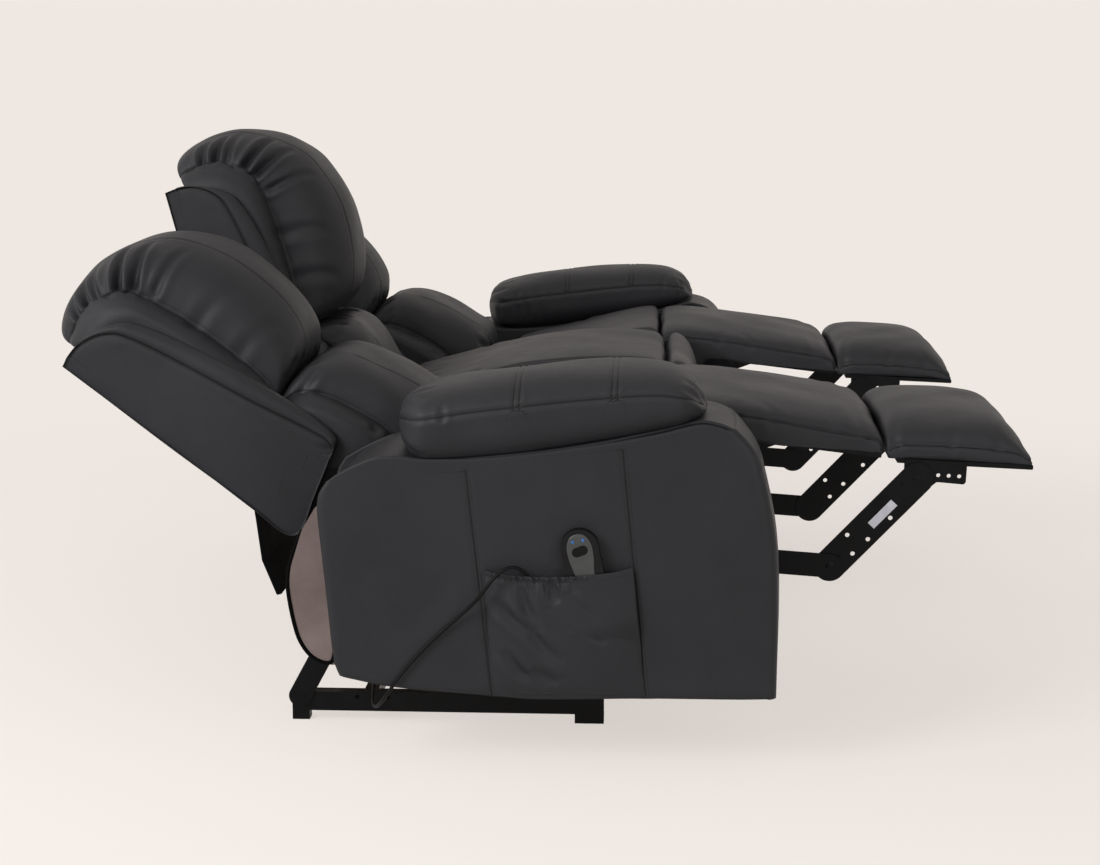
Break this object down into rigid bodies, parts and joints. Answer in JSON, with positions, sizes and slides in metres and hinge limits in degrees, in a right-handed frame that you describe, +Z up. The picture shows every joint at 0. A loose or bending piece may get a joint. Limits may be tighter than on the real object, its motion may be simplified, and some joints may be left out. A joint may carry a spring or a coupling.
{
  "type": "reclining sofa",
  "caption": "Three-seat leather sofa whose end seats recline on powered wall-hugger mechanisms with rising footrests, padded arms and a fixed middle seat.",
  "frame": {"origin": "on the floor, in the middle of the sofa's width and of its open depth", "axes": "+Z up, the sofa faces -Y, +X to the sitter's left"},
  "size_m": [2.083, 1.7352, 1.0312],
  "materials": {
    "charcoal_leather": "satin",
    "black_steel": "satin",
    "frame_wood": "matte",
    "beige_liner": "matte",
    "black_cover_cloth": "matte",
    "black_plastic": "satin",
    "rocker_rubber": "matte",
    "lead_rubber": "satin"
  },
  "bodies": {
    "root": {"floor_rails": "black_steel", "base_feet": "black_steel", "floor_cross_tubes": "black_steel", "base_tie_rails": "black_steel", "middle_seat_frame": "frame_wood", "middle_legs": "frame_wood", "middle_front_panel": "charcoal_leather", "middle_seat_cushion": "charcoal_leather", "middle_back_frame": "black_steel", "middle_back_shell": "charcoal_leather", "middle_head_pillow": "charcoal_leather", "middle_lumbar_pillow": "charcoal_leather", "middle_rear_panel": "black_cover_cloth"},
    "right_rear_swing": {"right_rear_swing_links": "black_steel"},
    "right_front_swing": {"right_front_swing_links": "black_steel"},
    "right_carriage": {"right_side_plates": "black_steel", "right_seat_frame": "frame_wood", "right_seat_cushion": "charcoal_leather", "right_arm_panel": "charcoal_leather", "right_arm_frame": "frame_wood", "right_arm_liner": "beige_liner", "right_arm_pad": "charcoal_leather", "right_motor": "black_plastic", "right_side_pocket": "charcoal_leather", "right_handset_case": "black_plastic", "right_handset_cord": "lead_rubber", "right_cord_grommet": "black_plastic"},
    "right_back": {"right_back_frame": "black_steel", "right_back_shell": "charcoal_leather", "right_head_pillow": "charcoal_leather", "right_lumbar_pillow": "charcoal_leather"},
    "right_lower_link": {"right_lower_leg_links": "black_steel"},
    "right_upper_link": {"right_upper_leg_links": "black_steel"},
    "right_foot": {"right_foot_board": "black_steel", "right_foot_pad": "charcoal_leather"},
    "right_calf": {"right_calf_board": "black_steel", "right_calf_pad": "charcoal_leather"},
    "right_drive_block": {"right_drive_block": "black_plastic"},
    "left_rear_swing": {"left_rear_swing_links": "black_steel"},
    "left_front_swing": {"left_front_swing_links": "black_steel"},
    "left_carriage": {"left_side_plates": "black_steel", "left_seat_frame": "frame_wood", "left_seat_cushion": "charcoal_leather", "left_arm_panel": "charcoal_leather", "left_arm_frame": "frame_wood", "left_arm_liner": "beige_liner", "left_arm_pad": "charcoal_leather", "left_motor": "black_plastic"},
    "left_back": {"left_back_frame": "black_steel", "left_back_shell": "charcoal_leather", "left_head_pillow": "charcoal_leather", "left_lumbar_pillow": "charcoal_leather"},
    "left_lower_link": {"left_lower_leg_links": "black_steel"},
    "left_upper_link": {"left_upper_leg_links": "black_steel"},
    "left_foot": {"left_foot_board": "black_steel", "left_foot_pad": "charcoal_leather"},
    "left_calf": {"left_calf_board": "black_steel", "left_calf_pad": "charcoal_leather"},
    "left_drive_block": {"left_drive_block": "black_plastic"},
    "handset_rocker": {"right_handset_rocker": "rocker_rubber"}
  },
  "joints": [
    {"name": "right_recline", "type": "hinge", "parent": "root", "child": "right_rear_swing", "pos_m": [-0.52, 0.42, 0.045], "axis": [-1, 0, 0], "range_deg": [0, 56.7]},
    {"name": "right_front_link", "type": "hinge", "parent": "root", "child": "right_front_swing", "pos_m": [-0.52, 0.06, 0.045], "axis": [-1, 0, 0], "range_deg": [0, 56.72]},
    {"name": "right_carriage_level", "type": "hinge", "parent": "right_rear_swing", "child": "right_carriage", "pos_m": [-0.52, 0.32503, 0.22101], "axis": [1, 0, 0], "range_deg": [0, 56.72]},
    {"name": "right_back_recline", "type": "hinge", "parent": "right_carriage", "child": "right_back", "pos_m": [-0.52, 0.302, 0.406], "axis": [1, 0, 0], "range_deg": [0, 38.32]},
    {"name": "right_lower_leg_swing", "type": "hinge", "parent": "right_carriage", "child": "right_lower_link", "pos_m": [-0.52, -0.225, 0.319], "axis": [1, 0, 0], "range_deg": [0, 33.01]},
    {"name": "right_knee", "type": "hinge", "parent": "right_lower_link", "child": "right_upper_link", "pos_m": [-0.52, -0.5181, 0.2988], "axis": [-1, 0, 0], "range_deg": [0, 92.74]},
    {"name": "right_foot_turn", "type": "hinge", "parent": "right_upper_link", "child": "right_foot", "pos_m": [-0.52, -0.66592, 0.45504], "axis": [1, 0, 0], "range_deg": [0, 147.25]},
    {"name": "right_calf_fold", "type": "hinge", "parent": "right_carriage", "child": "right_calf", "pos_m": [-0.52, -0.3484, 0.5016], "axis": [1, 0, 0], "range_deg": [0, 94.24]},
    {"name": "right_drive_slide", "type": "slide", "parent": "right_carriage", "child": "right_drive_block", "axis": [0, 1, 0], "range_m": [0, 0.2002]},
    {"name": "left_recline", "type": "hinge", "parent": "root", "child": "left_rear_swing", "pos_m": [0.52, 0.42, 0.045], "axis": [-1, 0, 0], "range_deg": [0, 56.7]},
    {"name": "left_front_link", "type": "hinge", "parent": "root", "child": "left_front_swing", "pos_m": [0.52, 0.06, 0.045], "axis": [-1, 0, 0], "range_deg": [0, 56.72]},
    {"name": "left_carriage_level", "type": "hinge", "parent": "left_rear_swing", "child": "left_carriage", "pos_m": [0.52, 0.32503, 0.22101], "axis": [1, 0, 0], "range_deg": [0, 56.72]},
    {"name": "left_back_recline", "type": "hinge", "parent": "left_carriage", "child": "left_back", "pos_m": [0.52, 0.302, 0.406], "axis": [1, 0, 0], "range_deg": [0, 38.32]},
    {"name": "left_lower_leg_swing", "type": "hinge", "parent": "left_carriage", "child": "left_lower_link", "pos_m": [0.52, -0.225, 0.319], "axis": [1, 0, 0], "range_deg": [0, 33.01]},
    {"name": "left_knee", "type": "hinge", "parent": "left_lower_link", "child": "left_upper_link", "pos_m": [0.52, -0.5181, 0.2988], "axis": [-1, 0, 0], "range_deg": [0, 92.74]},
    {"name": "left_foot_turn", "type": "hinge", "parent": "left_upper_link", "child": "left_foot", "pos_m": [0.52, -0.66592, 0.45504], "axis": [1, 0, 0], "range_deg": [0, 147.25]},
    {"name": "left_calf_fold", "type": "hinge", "parent": "left_carriage", "child": "left_calf", "pos_m": [0.52, -0.3484, 0.5016], "axis": [1, 0, 0], "range_deg": [0, 94.24]},
    {"name": "left_drive_slide", "type": "slide", "parent": "left_carriage", "child": "left_drive_block", "axis": [0, 1, 0], "range_m": [0, 0.2002]},
    {"name": "handset_rocker_press", "type": "hinge", "parent": "right_carriage", "child": "handset_rocker", "pos_m": [-1.03105, -0.09222, 0.37829], "axis": [0, 0.3746, 0.9272], "range_deg": [-6, 6], "stiffness_Nm_per_rad": 0.4}
  ],
  "couplings": [
    {"joint": "right_front_link", "follows": "right_recline", "ratio": 1},
    {"joint": "right_carriage_level", "follows": "right_recline", "ratio": 1},
    {"joint": "right_back_recline", "follows": "right_recline", "ratio": 0.67549},
    {"joint": "right_lower_leg_swing", "follows": "right_recline", "ratio": 0.58183},
    {"joint": "right_knee", "follows": "right_recline", "ratio": 1.6353},
    {"joint": "right_foot_turn", "follows": "right_recline", "ratio": 2.5966},
    {"joint": "right_calf_fold", "follows": "right_recline", "ratio": 1.6617},
    {"joint": "right_drive_slide", "follows": "right_recline", "m_per_rad": 0.2021},
    {"joint": "left_front_link", "follows": "left_recline", "ratio": 1},
    {"joint": "left_carriage_level", "follows": "left_recline", "ratio": 1},
    {"joint": "left_back_recline", "follows": "left_recline", "ratio": 0.67549},
    {"joint": "left_lower_leg_swing", "follows": "left_recline", "ratio": 0.58183},
    {"joint": "left_knee", "follows": "left_recline", "ratio": 1.6353},
    {"joint": "left_foot_turn", "follows": "left_recline", "ratio": 2.5966},
    {"joint": "left_calf_fold", "follows": "left_recline", "ratio": 1.6617},
    {"joint": "left_drive_slide", "follows": "left_recline", "m_per_rad": 0.2021}
  ]
}
